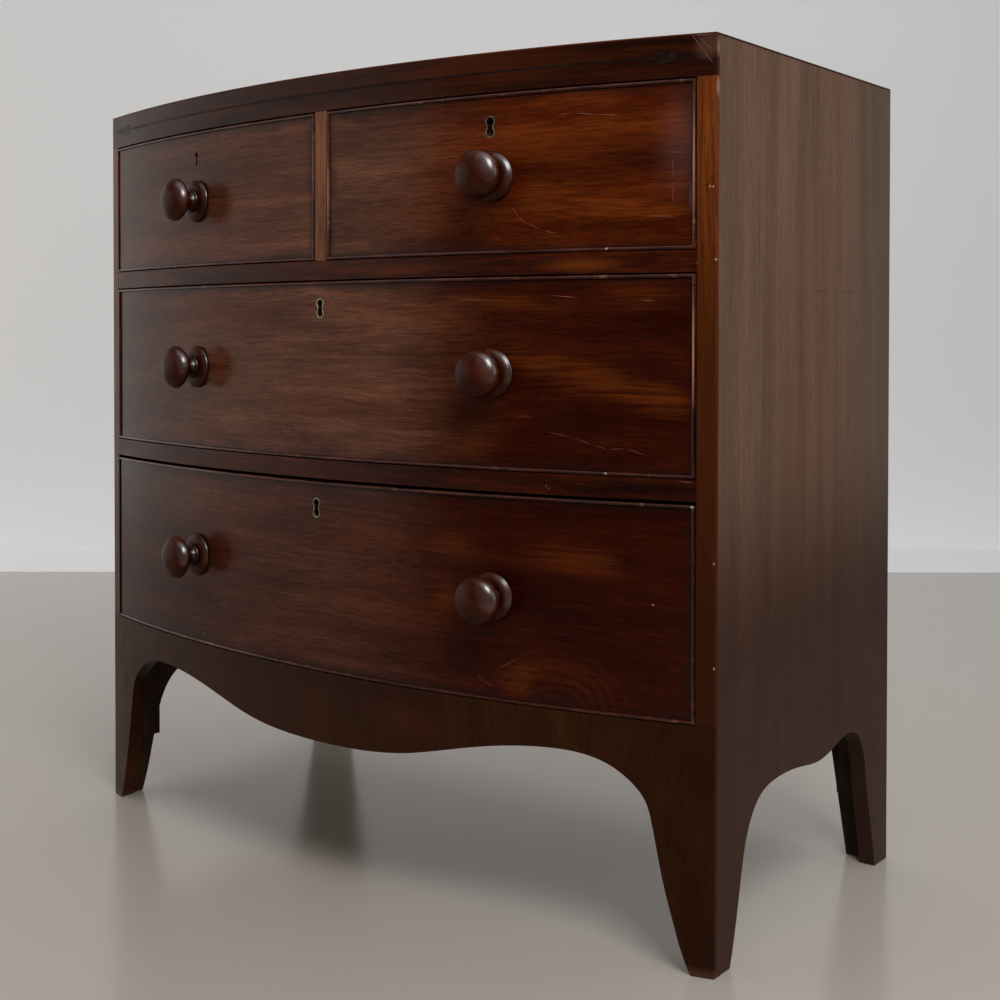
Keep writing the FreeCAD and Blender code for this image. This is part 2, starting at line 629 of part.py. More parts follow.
def long_bead(d, z0):
    """Bead along the top or bottom of a front: its section turned round the bow's centre."""
    back = FACE_Y + BEAD_DEPTH
    shoulder = FACE_Y - BEAD_SHOULDER
    low = Vector(0, shoulder, z0)
    high = Vector(0, shoulder, z0 + BEAD)
    nose = bead_nose(low, Vector(0, FACE_Y - BEAD_PROUD, z0 + BEAD / 2), high)
    rest = straight([high, Vector(0, back, z0 + BEAD), Vector(0, back, z0), low])
    section = Part.Face(Part.Wire(nose + rest))
    reach = BOW_RADIUS - FACE_INSET - BEAD_DEPTH
    start = math.degrees(math.asin(d.x0 / reach)) - BEAD_OVERRUN
    end = math.degrees(math.asin(d.x1 / reach)) + BEAD_OVERRUN
    centre = Vector(0, BOW_CENTRE_Y, 0)
    section.rotate(centre, UP, start)
    return section.revolve(centre, UP, end - start)


def short_bead(d, x0):
    """Bead up one end of a front."""
    x1 = x0 + BEAD
    shoulder = FACE_INSET - BEAD_SHOULDER
    back = FACE_INSET + BEAD_DEPTH
    middle = (x0 + x1) / 2
    near = Vector(x0, arc_y(x0, shoulder), 0)
    far = Vector(x1, arc_y(x1, shoulder), 0)
    tip = Vector(middle, arc_y(middle, FACE_INSET - BEAD_PROUD), 0)
    ends = (straight([far, Vector(x1, arc_y(x1, back), 0)])
            + [arc_edge(x1, x0, back)] + straight([Vector(x0, arc_y(x0, back), 0), near]))
    return raised(bead_nose(near, tip, far) + ends, d.z0, d.z1)


def cockbead(d):
    """Strips of bead round a front, mitred where they meet."""
    def corners(inwards):
        x0, x1 = d.x0 + inwards, d.x1 - inwards
        z0, z1 = d.z0 + inwards, d.z1 - inwards
        y = CORNER_Y - BOW - FRONT
        return [Vector(x0, y, z0), Vector(x1, y, z0), Vector(x1, y, z1), Vector(x0, y, z1)]

    outer = corners(-BEAD)
    inner = corners(2 * BEAD)

    def mitred(strip, side):
        """Cuts a strip's ends on the lines through the front's corners."""
        after = (side + 1) % 4
        outline = [outer[side], outer[after], inner[after], inner[side]]
        return strip.common(flat_piece(outline, Vector(0, DEPTH, 0)))

    strips = [mitred(long_bead(d, d.z0), 0),
              mitred(short_bead(d, d.x1 - BEAD), 1),
              mitred(long_bead(d, d.z1 - BEAD), 2)]
    if not d.bead_lost:
        strips.append(mitred(short_bead(d, d.x0), 3))
    return strips


# ---------------------------------------------------------------- the whole chest
DRAWERS = {
    "upper_left": Drawer(-INNER, -DIVIDER / 2, UPPER_Z, UPPER_TOP_Z, knobs=[-KNOB_X],
                         key=-KNOB_X + KEY_SHIFT, key_drop=KEY_DROP, knob_drop=KNOB_DROP,
                         escutcheon=False, bead_lost=True),
    "upper_right": Drawer(DIVIDER / 2, INNER, UPPER_Z, UPPER_TOP_Z, knobs=[KNOB_X],
                          key=KNOB_X + KEY_SHIFT, key_drop=KEY_DROP, knob_drop=KNOB_DROP),
    "middle": Drawer(-INNER, INNER, MIDDLE_Z, MIDDLE_TOP_Z, knobs=[-KNOB_X, KNOB_X],
                     key=KEY_SHIFT, key_drop=LONG_KEY_DROP),
    "lower": Drawer(-INNER, INNER, BASE_HEIGHT, LOWER_TOP_Z, knobs=[-KNOB_X, KNOB_X],
                    key=LOWER_KEY_SHIFT, key_drop=LONG_KEY_DROP, top_gap=LOWER_TOP_GAP,
                    bead_lost=True),
}


def carcass():
    """Every piece that stays put, by name."""
    mortises = {name: mortise(d) for name, d in DRAWERS.items()}
    top_rail = rail(FACING, UPPER_TOP_Z, TOP_UNDER_Z)
    rail_upper = rail(0, MIDDLE_TOP_Z, UPPER_Z)
    rail_lower = rail(0, LOWER_TOP_Z, MIDDLE_Z)
    top = top_board()
    bottom = bottom_board()
    boards = backboards()
    right_side = side_board([top_rail, rail_upper, rail_lower, top, bottom] + boards)
    arch = front_arch()
    foot = front_foot(arch)
    joint = HALF - FOOT_WIDTH
    inlay = frieze_inlay()
    facing = bowed_strip(-HALF, HALF, 0, FACING, UPPER_TOP_Z, BOARD_TOP_Z)
    stile = soften_corners(bowed_strip(INNER, HALF, 0, FACING, BASE_HEIGHT, UPPER_TOP_Z))
    stops = [stop(SHORT_MIDDLE + side * STOP_SPREAD, UPPER_Z) for side in (-1, 1)]
    stops += [mirrored(block) for block in stops]
    stops += [stop(x, z) for x in (-KNOB_X, KNOB_X) for z in (MIDDLE_Z, BASE_HEIGHT)]
    return {
        "side_right": right_side,
        "side_left": mirrored(right_side),
        "top_board": top,
        "top_veneer": soften_corners(bowed_board(-HALF, HALF, 0, BACK_Y, BOARD_TOP_Z, HEIGHT)),
        "top_rail": top_rail.cut([mortises["upper_left"], mortises["upper_right"]]),
        "rail_upper": rail_upper.cut(mortises["middle"]),
        "rail_lower": rail_lower.cut(mortises["lower"]),
        "frieze_facing": soften_corners(facing.cut(inlay)),
        "frieze_inlay": Part.makeCompound(inlay),
        "stile_right": stile,
        "stile_left": mirrored(stile),
        "centre_divider": bowed_board(-DIVIDER / 2, DIVIDER / 2, 0, INSIDE_BACK_Y,
                                      UPPER_Z, UPPER_TOP_Z),
        "bottom_board": bottom,
        "apron": bowed_strip(-joint, joint, 0, APRON, 0, BASE_HEIGHT).cut(arch),
        "foot_front_right": foot,
        "foot_front_left": mirrored(foot),
        "foot_rear_right": rear_foot(),
        "foot_rear_left": mirrored(rear_foot()),
        "glue_blocks": Part.makeCompound(glue_blocks()),
        "runners_upper": Part.makeCompound(bearers(MIDDLE_TOP_Z, UPPER_Z, True)),
        "runners_lower": Part.makeCompound(bearers(LOWER_TOP_Z, MIDDLE_Z, False)),
        "kickers": Part.makeCompound(bearers(UPPER_TOP_Z, TOP_UNDER_Z, True)),
        "drawer_stops": Part.makeCompound(stops),
        "backboards": Part.makeCompound(boards),
    }


def drawer(name, d):
    """Every piece of one drawer, by name."""
    pieces = {
        "front": drawer_front(d),
        "cockbead": Part.makeCompound(cockbead(d)),
        "sides": Part.makeCompound(drawer_sides(d)),
        "back": drawer_back(d),
        "bottom": drawer_bottom(d),
        "lock": lock_case(d),
        "bolt": lock_bolt(d),
    }
    knobs = [knob(d, x) for x in d.knobs]
    pieces["knob" if len(knobs) == 1 else "knobs"] = Part.makeCompound(knobs)
    if d.escutcheon:
        pieces["escutcheon"] = escutcheon(d)
    return {f"{name}_{piece}": shape for piece, shape in pieces.items()}


pieces = carcass()
for name, d in DRAWERS.items():
    pieces.update(drawer(name, d))

os.makedirs("parts", exist_ok=True)
for name, shape in pieces.items():
    shape.exportStep(f"parts/{name}.step")
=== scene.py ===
import math

import bpy
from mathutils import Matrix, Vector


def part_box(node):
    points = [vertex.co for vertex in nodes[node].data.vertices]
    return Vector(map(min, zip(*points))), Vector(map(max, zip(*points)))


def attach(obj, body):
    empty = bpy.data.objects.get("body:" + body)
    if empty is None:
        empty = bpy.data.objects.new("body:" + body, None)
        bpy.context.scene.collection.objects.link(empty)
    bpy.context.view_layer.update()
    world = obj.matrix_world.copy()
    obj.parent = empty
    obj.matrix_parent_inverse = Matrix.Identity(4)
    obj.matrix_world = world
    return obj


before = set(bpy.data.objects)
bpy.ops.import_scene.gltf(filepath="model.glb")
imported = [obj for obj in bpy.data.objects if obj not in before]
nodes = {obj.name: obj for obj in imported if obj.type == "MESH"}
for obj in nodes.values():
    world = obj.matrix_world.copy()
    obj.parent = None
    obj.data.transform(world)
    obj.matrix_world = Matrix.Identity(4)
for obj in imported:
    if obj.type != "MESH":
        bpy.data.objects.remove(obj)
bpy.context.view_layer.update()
bpy.ops.object.select_all(action="DESELECT")


# Side boards: each is one solid mahogany board from the top to the floor, planed and French
# polished, with the grain upright. They are coloured paler and greyer than the fronts, partly
# faded wood and partly painted sheen of the pale wall, and painted shade darkens them towards
# the floor, where their polish mirrors the darker floor.
def linear(code):
    """An sRGB hex colour as the linear one that shaders use."""
    parts = [int(code[i:i + 2], 16) / 255 for i in (0, 2, 4)]
    return [p / 12.92 if p <= 0.04045 else ((p + 0.055) / 1.055)**2.4 for p in parts] + [1]


def add(tree, kind, inputs=None, output=0, stops=(), **settings):
    """Adds a node. Each input is a value, or another node's output to link."""
    made = tree.nodes.new("ShaderNode" + kind)
    for name, value in settings.items():
        setattr(made, name, value)
    for name, value in (inputs or {}).items():
        if isinstance(value, bpy.types.NodeSocket):
            tree.links.new(value, made.inputs[name])
        else:
            made.inputs[name].default_value = value
    for element, (place, code) in zip(made.color_ramp.elements if stops else (), stops):
        element.position, element.color = place, linear(code)
    return made.outputs[output]


MM = 0.001
GRAIN_TURN = {"x": (0, 0, 0), "z": (0, math.pi / 2, 0), "y": (0, 0, math.pi / 2)}


class Wood:
    """A board of wood, named for its timber and finish. Lengths are in mm.

    To the eye, a polish makes the wood's figure deep and its gloss a little uneven, and its
    long pores show as short dark dashes. Each size is how long a patch is along the grain,
    and how wide across it."""

    WANDERING = (260, 90)   # how slowly the grain bends
    BROKEN_EDGES = (90, 3.6)    # fingers in which a band of the figure ends
    PORES = (12, 0.9)   # drawn three times as wide as in mahogany, or they wouldn't show
    SHEEN = (70, 30)    # patches where the polish is duller or brighter
    HOLLOWS = (60, 35)  # left by the plane
    HOLLOW_DEPTH = 0.25
    PORE_DEPTH = 0.05

    def __init__(self, name, grain, dark, middle, light, board, across=1.0,
                 bands=(240, 34), rings=(120, 4.5), streaks=(22, 1.3), spread=0.115,
                 roughness=0.30, gloss=0.10, pore=0.35, wander=18):
        self.material = bpy.data.materials.new(name)
        self.material.use_nodes = True
        self.tree = self.material.node_tree
        self.shader = self.tree.nodes["Principled BSDF"]
        self.place = add(self.tree, "TexCoord", output="Object")
        turned = add(self.tree, "Mapping", {"Vector": self.place, "Rotation": GRAIN_TURN[grain],
                                            "Scale": (1, across, 1),
                                            "Location": (board, 0.37 * board, 0.61 * board)})
        drift = add(self.tree, "VectorMath",
                    {0: self.layer(turned, self.WANDERING, 1, "Color"), 1: (0.5, 0.5, 0.5)},
                    operation="SUBTRACT")
        drift = add(self.tree, "VectorMath", {0: drift, "Scale": wander * MM},
                    operation="SCALE")
        self.grain = add(self.tree, "VectorMath", {0: turned, 1: drift}, operation="ADD")
        broken = self.layer(self.grain, self.BROKEN_EDGES, 4)
        self.breaks = add(self.tree, "MapRange", {"Value": broken, "From Min": 0.3,
                                                  "From Max": 0.7, "To Min": -0.4,
                                                  "To Max": 0.4})
        tone = add(self.tree, "Mix", {0: 0.34, 2: self.layer(self.grain, bands, 4),
                                      3: self.layer(self.grain, rings, 3)})
        tone = add(self.tree, "Mix", {0: 0.3, 2: tone,
                                      3: self.layer(self.grain, streaks, 3)})
        self.colour = add(self.tree, "ValToRGB", {"Fac": tone},
                          stops=((0.5 - spread, dark), (0.5 + spread, light)))
        centre = self.colour.node.color_ramp.elements.new(0.5)
        centre.color = linear(middle)
        dashes = self.layer(self.grain, self.PORES, 1)
        self.pores = add(self.tree, "MapRange", {"Value": dashes, "From Min": 0.56,
                                                 "From Max": 0.74, "To Max": pore})
        self.lay(self.pores, dark, "MULTIPLY")
        rough = add(self.tree, "MapRange", {"Value": self.layer(self.grain, self.SHEEN, 4),
                                            "From Min": 0.3, "From Max": 0.7,
                                            "To Min": roughness - 0.06,
                                            "To Max": roughness + 0.08})
        self.tree.links.new(rough, self.shader.inputs["Roughness"])
        self.shader.inputs["Specular IOR Level"].default_value = gloss
        hollows = add(self.tree, "Bump", {"Height": self.layer(self.grain, self.HOLLOWS, 1),
                                          "Distance": self.HOLLOW_DEPTH * MM,
                                          "Strength": 0.5})
        self.relief = add(self.tree, "Bump", {"Height": self.pores, "Strength": 0.5,
                                              "Distance": self.PORE_DEPTH * MM,
                                              "Normal": hollows}, invert=True)
        self.tree.links.new(self.relief, self.shader.inputs["Normal"])

    def layer(self, along, size, detail, output="Fac"):
        """One layer of the figure: patches so long and so wide, drawn out along the grain."""
        length, width = size
        drawn = add(self.tree, "Mapping", {"Vector": along,
                                           "Scale": (1 / (length * MM), 1 / (width * MM),
                                                     1 / (width * MM))})
        return add(self.tree, "TexNoise", {"Vector": drawn, "Scale": 1, "Detail": detail,
                                           "Distortion": 0.4}, output=output)

    def lay(self, share, code, way="MIX"):
        """Lays a colour over the wood, by a share that may vary over the surface."""
        self.colour = add(self.tree, "Mix", {0: share, 6: self.colour, 7: linear(code)},
                          output=2, data_type="RGBA", blend_type=way)
        self.tree.links.new(self.colour, self.shader.inputs["Base Color"])

    def fade(self, axis, start, end, code, share, way="MIX"):
        """Lays a colour over one end: none at start, the whole share from end on."""
        along = add(self.tree, "SeparateXYZ", {0: self.place}, output=axis)
        self.lay(add(self.tree, "MapRange", {"Value": along, "From Min": start * MM,
                                             "From Max": end * MM, "To Max": share},
                     interpolation_type="SMOOTHSTEP"), code, way)

    def mark(self, centre, size, code, share, turn=0.0, soft=0.9, way="MIX", face="xz",
             figured=False):
        """One mark: an ellipse with soft edges, its centre and half sizes across the face.
        Turned, its right end goes down on a front and up on a side. A figured one is
        drawn out and broken up along the grain, as a band in the wood is."""
        middle = [0, 0, 0]
        reach = [1, 1, 1]
        for axis, at, half in zip(face, centre, size):
            middle["xyz".index(axis)] = at * MM
            reach["xyz".index(axis)] = half * MM
        spin = [0, 0, 0]
        spin["xyz".index(({"x", "y", "z"} - set(face)).pop())] = math.radians(turn)
        local = add(self.tree, "Mapping", {"Vector": self.place, "Location": middle,
                                           "Rotation": spin, "Scale": reach},
                    vector_type="TEXTURE")
        away = add(self.tree, "VectorMath", {0: local}, output="Value", operation="LENGTH")
        if figured:
            away = add(self.tree, "Math", {0: away, 1: self.breaks})
        self.lay(add(self.tree, "MapRange", {"Value": away, "From Min": 1, "From Max": 1 - soft,
                                             "To Max": share},
                     interpolation_type="SMOOTHSTEP"), code, way)

    def scratch(self, points, code, share=0.5, half=0.36, face="xz"):
        """A scratch through these points of the face."""
        for (a, b), (c, d) in zip(points, points[1:]):
            turn = math.degrees(math.atan2(d - b, c - a))
            self.mark(((a + c) / 2, (b + d) / 2), (math.hypot(c - a, d - b) / 2 + 1, half),
                      code, share, -turn if face == "xz" else turn, 0.7, face=face)

    def shade_and_grime(self, x, z, width, code, share):
        """Painted shade, with dirt and old polish, in the corner all round a panel, x and z its
        limits.
        """
        split = add(self.tree, "SeparateXYZ", {0: self.place}).node
        inward = []
        for axis, (low, high) in (("X", x), ("Z", z)):
            off = add(self.tree, "Math", {0: split.outputs[axis], 1: (low + high) / 2 * MM},
                      operation="SUBTRACT")
            off = add(self.tree, "Math", {0: off}, operation="ABSOLUTE")
            inward.append(add(self.tree, "Math", {0: (high - low) / 2 * MM, 1: off},
                              operation="SUBTRACT"))
        nearest = add(self.tree, "Math", {0: inward[0], 1: inward[1]}, operation="MINIMUM")
        uneven = add(self.tree, "MapRange", {"Value": self.layer(self.place, (40, 40), 3),
                                             "To Min": -0.9 * width * MM,
                                             "To Max": 0.9 * width * MM})
        nearest = add(self.tree, "Math", {0: nearest, 1: uneven})
        self.lay(add(self.tree, "MapRange", {"Value": nearest, "From Min": width * MM,
                                             "From Max": 0, "To Max": share},
                     interpolation_type="SMOOTHSTEP"), code)

    def dress(self, *names, soften=0.4):
        """Gives solids this wood, and takes the sharpness off their edges."""
        for name in names:
            piece = nodes[name]
            piece.material_slots[0].material = self.material
            if soften:
                ease(piece, soften)


SAME_POINT = 0.001
SAME_FACE = math.radians(0.2)
EDGE = math.radians(35)


def ease(piece, width):
    """Edges eased with fine paper: merged first, because these meshes are loose triangles."""
    weld = piece.modifiers.new("joined", "WELD")
    weld.merge_threshold = SAME_POINT * MM
    flat = piece.modifiers.new("flat", "DECIMATE")
    flat.decimate_type = "DISSOLVE"
    flat.angle_limit = SAME_FACE
    bevel = piece.modifiers.new("eased", "BEVEL")
    bevel.width = width * MM
    bevel.segments = 2
    bevel.limit_method = "ANGLE"
    bevel.angle_limit = EDGE
    even = piece.modifiers.new("even", "WEIGHTED_NORMAL")
    even.keep_sharp = False


side = Wood("mahogany board, French polished and faded", "z", "503a2e", "644b3d", "755848",
            board=0.3, bands=(420, 26), rings=(260, 3.2), streaks=(30, 1.1), spread=0.17,
            roughness=0.36, wander=8)
side.mark((30, 520), (130, 460), "64412c", 0.35, soft=0.9, face="yz")
# Painted sheen makes them greyer towards the back; painted shade darkens them towards the
# floor.
side.fade("Y", 120, 225, "584b40", 0.6)
side.fade("Z", 520, 300, "2e1408", 0.82)
side.fade("Z", 899, 902, "1e0f08", 0.7)
DIRT = "1d0f09"
side.scratch([(34, 663.5), (104, 663), (172, 663.5)], DIRT, 0.8, 0.7, "yz")
side.scratch([(172, 663.5), (242, 663.9)], DIRT, 0.3, 0.6, "yz")
side.scratch([(20, 667.2), (39, 667.8)], DIRT, 0.6, 0.6, "yz")
side.scratch([(-152, 683.5), (-134, 692)], "2a160d", 0.6, 0.6, "yz")
for at in ((-113, 745), (-133, 737), (6, 827), (6, 673)):
    side.mark(at, (1.6, 3), DIRT, 0.7, face="yz")
side.dress("side_right", "side_left")


# Top: saw-cut mahogany veneer laid on the pine top board, with the grain along it. French
# polish gives it a warm, even red, marked by a pale ring and scratches from use, and its
# right end is dark where the polish has run over the edge.
top = Wood("mahogany veneer, French polished", "x", "3a170b", "5a2a17", "743c22",
           board=2.1, bands=(300, 60), rings=(200, 7), spread=0.17)
top.mark((-180, 20), (48, 48), "8a5a40", 0.16, soft=0.12)
for points in ([(60, -60), (140, -52), (215, -20)], [(-330, 90), (-260, 120)]):
    top.scratch(points, "94684c", 0.3, face="xy")
top.fade("X", 452, 456.5, "24120b", 0.8)
top.dress("top_veneer")


# Frieze: a bowed mahogany band under the top. A 2 mm ebony string is let into it along its
# middle, and ends each side in a short dart. Its polish is darker to the right, with pale
# scratches and a rubbed corner, whose rounded edge has a pale line of painted highlight and
# wear; the ebony has gone a dull brown black.
frieze = Wood("mahogany band, French polished", "x", "200802", "2f0f03", "421906",
              board=3.4, across=0.05, bands=(260, 14), rings=(120, 2.6))
frieze.mark((238, 893), (150, 34), "6a2c0c", 0.28, soft=1.0, figured=True)
frieze.fade("X", 120, 320, "dde2ea", 1.0, "MULTIPLY")
frieze.mark((450, 892), (17, 20), "74503f", 0.3, turn=35, soft=0.7)
frieze.mark((448.6, 892.7), (2.2, 2.2), "3a1a0c", 0.8)
# Painted highlight with wear: a pale line down the rounded right-hand corner.
frieze.mark((457.5, 889), (0.8, 15), "c8b8a8", 0.6)
frieze.mark((444, 901.4), (13, 0.7), "b8a08c", 0.5)
frieze.scratch([(431.5, 905), (443, 888), (455, 871.5)], "a08878", 0.6, 0.28)
frieze.scratch([(436, 903), (456, 884)], "a08878", 0.4, 0.28)
frieze.dress("frieze_facing")
ebony = Wood("ebony, polished and scuffed", "x", "100806", "1c110c", "2c1e17", board=9.1,
             bands=(40, 8), rings=(20, 2), roughness=0.36, gloss=0.07, pore=0.2)
ebony.dress("frieze_inlay", soften=0)


# Stiles: thin upright mahogany facings glued to the front edges of the side boards, each
# pieced from two lengths. They are golden near the top and darker lower down, partly their
# own colour and partly painted shade below the light from above, and chipped along the corner.
stile = Wood("mahogany facing, French polished", "z", "4e2108", "68310f", "7c4016",
             board=4.2, bands=(130, 5), rings=(80, 2.0), streaks=(16, 0.8), pore=0.55)
# Darker lower down: partly painted shade below the light from above.
stile.fade("Z", 790, 560, "3f1905", 0.85)
stile.fade("Z", 520, 300, "2e1204", 0.65)
# Painted shade with dirt: a dark line down each inner edge, beside the drawers.
STILE_INNER_EDGE = 438.5
for limit in (STILE_INNER_EDGE, -STILE_INNER_EDGE):
    stile.mark((limit, 550), (1.6, 330), "1c0a03", 0.7, soft=0.6)
stile.scratch([(438, 758.6), (457, 759.6)], "1a0803", 0.8, 0.5)
# Painted highlight with wear: a pale line down the rounded outer corner.
stile.mark((457, 852), (0.7, 14), "b89a84", 0.35)
for at in ((450.9, 757.5), (456.2, 688), (438.3, 705), (438.3, 684.5), (455.6, 398.5),
           (455.9, 298.3), (454, 757)):
    stile.mark(at, (1.1, 1.8), "c8a888", 0.8)
stile.dress("stile_right", "stile_left")


# Rails between the rows of drawers, and the divider between the two short drawers: solid
# mahogany, the rails bowed as the fronts are. The rails' polish is dark and lively. The
# divider's front edge is coloured paler.
rail = Wood("mahogany rail, French polished", "x", "200702", "361104", "501c07",
            board=5.7, across=0.05, bands=(170, 10), rings=(90, 2.6))
rail.mark((326, 685), (60, 9), "7a3c10", 0.55)
rail.mark((120, 687), (120, 8), "5e2e12", 0.35)
rail.mark((390, 467), (150, 14), "140401", 0.85)
rail.scratch([(421, 476.0), (437.5, 474.8)], "a07a64", 0.6)
rail.scratch([(300, 470), (360, 466.5)], "6b3a24", 0.5)
for at in ((288.2, 465.3), (291, 463)):
    rail.mark(at, (1.0, 1.2), "b09080", 0.7)
rail.dress("rail_upper", "rail_lower")
divider = Wood("mahogany divider, French polished", "z", "55301c", "774a32", "8c5a3e",
               board=6.3, bands=(120, 5), rings=(70, 2))
divider.dress("centre_divider")


# Apron and front feet: the apron's lower edge is sawn to a serpentine, and runs into feet
# that sweep down to the floor. The grain is upright, and the polish looks dull and dark
# from knocks and floor wax, and worn through to bare wood at the feet's ends.
base = Wood("mahogany apron, French polished and worn", "z", "291205", "351907", "43220c",
            board=7.7, across=0.3, bands=(110, 30), rings=(50, 3), spread=0.17,
            roughness=0.36, gloss=0.08)
# Painted shadow: a dark band along the apron's top, under the lowest drawer.
base.mark((0, 232), (330, 16), "260d04", 0.5)
base.fade("X", 300, 430, "250d04", 0.4)
base.mark((130, 205), (70, 22), "4a2010", 0.45, turn=8)
base.scratch([(438, 242.3), (456, 241.5)], "120603", 0.9, 0.7)
base.mark((-420, 30), (26, 40), "52301c", 0.5)
base.fade("Z", 12, 2, "6a4a34", 0.4)
base.dress("apron", "foot_front_right", "foot_front_left")


# Drawer fronts: figured mahogany, sawn to the bow and French polished. The figure runs
# across in broad golden and dark bands. Painted shade and old polish darken the corners
# inside the beads. The lowest front is painted darker, as shade lower down, and the fronts
# are painted darker towards the ends of the bow, as light and sheen fall across it.
FRONTS = {
    "upper_left": {"x": (-437.5, -9.8), "z": (698.5, 860.5), "board": 1.3,
                   "dark": "432010", "middle": "5a3120", "light": "724430",
                   "shade_fades": [(-300, -430, "c0a090")]},
    "upper_right": {"x": (9.8, 437.5), "z": (698.5, 860.5), "board": 2.9,
                    "dark": "452010", "middle": "5c3421", "light": "744832",
                    "shade_fades": [(50, 240, "f4b060")]},
    "middle": {"x": (-437.5, 437.5), "z": (478.8, 674.7), "board": 4.9,
               "dark": "492212", "middle": "603622", "light": "784a34",
               "shade_fades": [(-200, -400, "b09084"), (70, 260, "a66a42")]},
    # Painted darker than the others, as shade lower down.
    "lower": {"x": (-437.5, 437.5), "z": (242.8, 453.3), "board": 6.1,
              "dark": "361509", "middle": "4a2416", "light": "5e3422",
              "shade_fades": [(-200, -400, "c8b0a8"), (0, 240, "c8843c")]},
}
GOLD = "803c12"
SHADE = "200702"
PAINTED_SHEEN = "5c4340"
PALE = "be8670"
fronts = {}
for name, front in FRONTS.items():
    fronts[name] = Wood("figured mahogany, French polished", "x", front["dark"],
                        front["middle"], front["light"], board=front["board"], across=0.05,
                        roughness=0.2, pore=0.5)
    # Painted shade: the fronts darken towards both ends of the bow, and turn more orange at the
    # right.
    for start, end, code in front["shade_fades"]:
        fronts[name].fade("X", start, end, code, 1.0, "MULTIPLY")

# Broad bands of the figure: centre, half size, turn, colour and share. Fine dark lines run
# through them.
BAND_LENGTH = 1.1
BAND_WIDTH = 1.9
BAND_SHARE = 0.75
FINE_LINES = (34, 1.5)
BANDS = {
    "upper_left": [
        ((-330, 815), (90, 16), -2, SHADE, 0.25), ((-120, 760), (70, 22), 3, GOLD, 0.22),
        ((-300, 735), (110, 14), 0, GOLD, 0.14)],
    "upper_right": [
        ((327, 849), (48, 7), 1, GOLD, 0.50), ((257, 825), (46, 8), 3, GOLD, 0.40),
        ((344, 824), (32, 6), 2, GOLD, 0.40), ((285, 755), (52, 11), 4, GOLD, 0.60),
        ((351, 745), (60, 9), 3, GOLD, 0.50), ((300, 790), (70, 6), 2, GOLD, 0.28),
        ((380, 795), (60, 20), 4, SHADE, 0.42), ((330, 725), (90, 9), 6, SHADE, 0.35),
        ((120, 745), (80, 14), 3, GOLD, 0.22), ((110, 815), (70, 20), 0, SHADE, 0.22),
        ((300, 838), (150, 4), 2, SHADE, 0.30)],
    "middle": [
        ((272, 588), (70, 10), 4, GOLD, 0.56), ((345, 569), (84, 12), 9, GOLD, 0.52),
        ((408, 553), (48, 12), 8, GOLD, 0.46), ((253, 648), (80, 8), 2, GOLD, 0.50),
        ((380, 655), (60, 9), 2, GOLD, 0.36), ((390, 590), (60, 16), 8, SHADE, 0.72),
        ((330, 620), (110, 9), 4, SHADE, 0.48), ((330, 528), (110, 20), 6, SHADE, 0.45),
        ((195, 505), (44, 14), -10, GOLD, 0.30), ((100, 640), (120, 16), 2, GOLD, 0.22),
        ((70, 600), (120, 12), 0, SHADE, 0.24), ((0, 545), (150, 20), 2, GOLD, 0.18),
        ((-200, 640), (120, 20), 0, GOLD, 0.16)],
    "lower": [
        ((318, 392), (70, 10), 4, GOLD, 0.38), ((182, 397), (46, 11), 0, GOLD, 0.32),
        ((256, 266), (34, 13), -40, GOLD, 0.42),
        ((171, 344), (26, 9), 0, GOLD, 0.38), ((65, 398), (90, 15), 2, GOLD, 0.26),
        ((330, 428), (100, 9), 3, SHADE, 0.40), ((250, 372), (110, 9), 3, SHADE, 0.36),
        ((390, 350), (70, 26), 6, SHADE, 0.45), ((380, 285), (80, 26), 10, SHADE, 0.40),
        ((60, 330), (140, 20), 0, GOLD, 0.15), ((292, 250), (40, 22), 0, SHADE, 0.65),
        ((-150, 390), (110, 22), 0, GOLD, 0.14)],
}
for name, bands in BANDS.items():
    for centre, (length, width), turn, code, share in bands:
        fronts[name].mark(centre, (BAND_LENGTH * length, BAND_WIDTH * width), code,
                          BAND_SHARE * share, turn, 1.0, figured=True)
    lines = fronts[name].layer(fronts[name].grain, FINE_LINES, 3)
    fronts[name].lay(add(fronts[name].tree, "MapRange", {"Value": lines, "From Min": 0.48,
                                                         "From Max": 0.68, "To Max": 0.45}),
                     SHADE)

# The heart of a branch shows in the lowest front as faint arched stripes. They are drawn
# alike at every depth, because the front is bowed.
HEART = (292 * MM, 0, 232 * MM)
HEART_TURN = (0, math.radians(-16), 0)
HEART_STRETCH = (1.3, 1000, 1)
HEART_INNER = 34 * MM
HEART_OUTER = 90 * MM
STRIPES_PER_LENGTH = 36
heart = fronts["lower"]
local = add(heart.tree, "Mapping", {"Vector": heart.place, "Location": HEART,
                                    "Rotation": HEART_TURN, "Scale": HEART_STRETCH},
            vector_type="TEXTURE")
bent = add(heart.tree, "VectorMath", {0: heart.layer(heart.place, (60, 40), 2, "Color"),
                                      1: (0.5, 0.5, 0.5)}, operation="SUBTRACT")
bent = add(heart.tree, "VectorMath", {0: bent, "Scale": 14 * MM}, operation="SCALE")
bent = add(heart.tree, "VectorMath", {0: local, 1: bent}, operation="ADD")
arches = add(heart.tree, "TexWave", {"Vector": bent, "Scale": STRIPES_PER_LENGTH,
                                     "Distortion": 2.5, "Detail": 2}, output=1,
             wave_type="RINGS", rings_direction="Y")
away = add(heart.tree, "VectorMath", {0: bent}, output="Value", operation="LENGTH")
near = add(heart.tree, "MapRange", {"Value": away, "From Min": HEART_OUTER,
                                    "From Max": HEART_INNER, "To Max": 0.07},
           interpolation_type="SMOOTHSTEP")
heart.lay(add(heart.tree, "Math", {0: near, 1: arches}, operation="MULTIPLY"), "8a4718")

# Painted shade, dirt and old polish lie inside the beads, and use has left scratches and
# bruises.
BEAD_WIDTH = 3
for name, front in FRONTS.items():
    inside = [(low + BEAD_WIDTH, high - BEAD_WIDTH) for low, high in (front["x"], front["z"])]
    fronts[name].shade_and_grime(*inside, 13, "24110d", 0.55)
    fronts[name].shade_and_grime(*inside, 1.6, "080302", 0.85)

